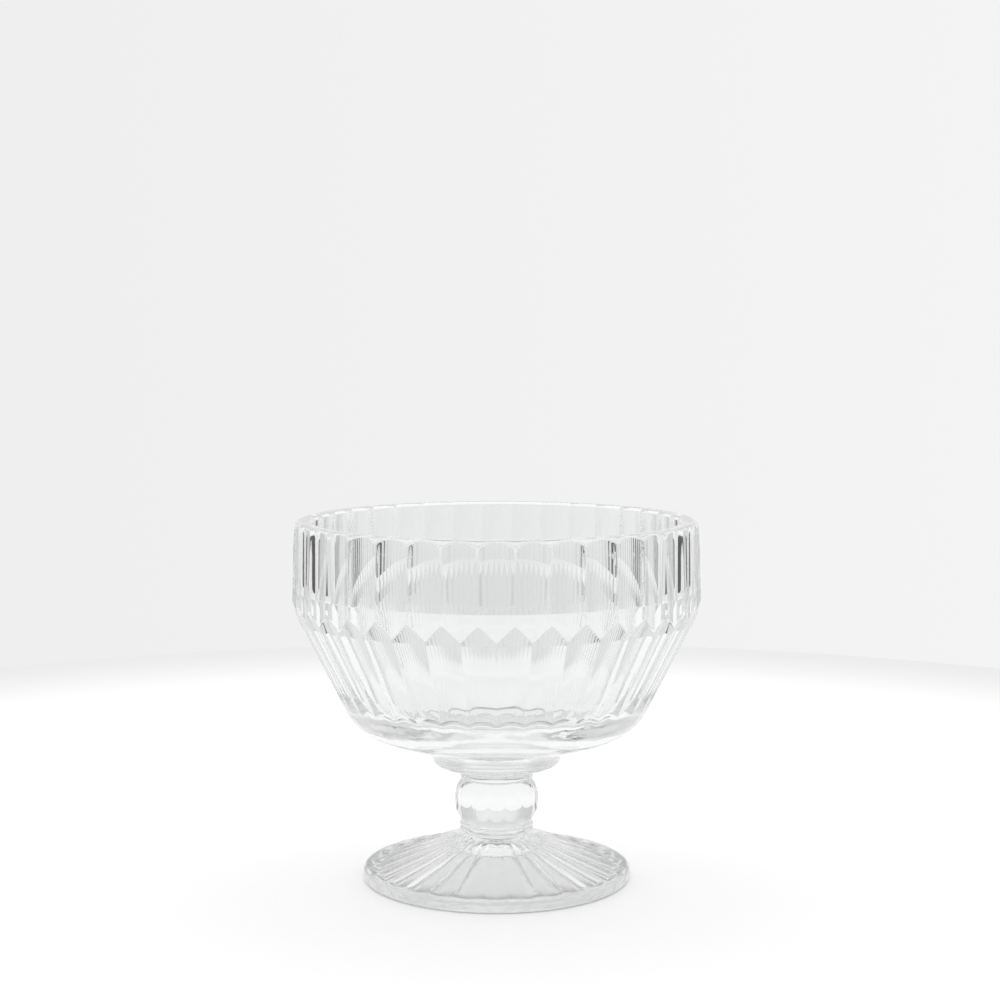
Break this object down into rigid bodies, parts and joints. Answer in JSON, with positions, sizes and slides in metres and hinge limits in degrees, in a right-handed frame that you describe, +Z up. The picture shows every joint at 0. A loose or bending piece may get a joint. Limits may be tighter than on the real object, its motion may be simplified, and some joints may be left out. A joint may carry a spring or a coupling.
{
  "type": "footed dessert bowl",
  "caption": "Clear pressed-glass footed dessert bowl: fluted band, zigzag shoulder and fluted cone on a ball knop between two collars and a fluted round foot.",
  "frame": {"origin": "centre of the foot's resting face", "axes": "+Z up the bowl's axis, -Y to the front of the picture"},
  "size_m": [0.1164, 0.116, 0.1035],
  "materials": {
    "clear_glass": "fire-polished clear pressed glass"
  },
  "bodies": {
    "root": {"bowl": "clear_glass", "upper_collar": "clear_glass", "knop": "clear_glass", "lower_collar": "clear_glass", "foot": "clear_glass"}
  },
  "joints": []
}
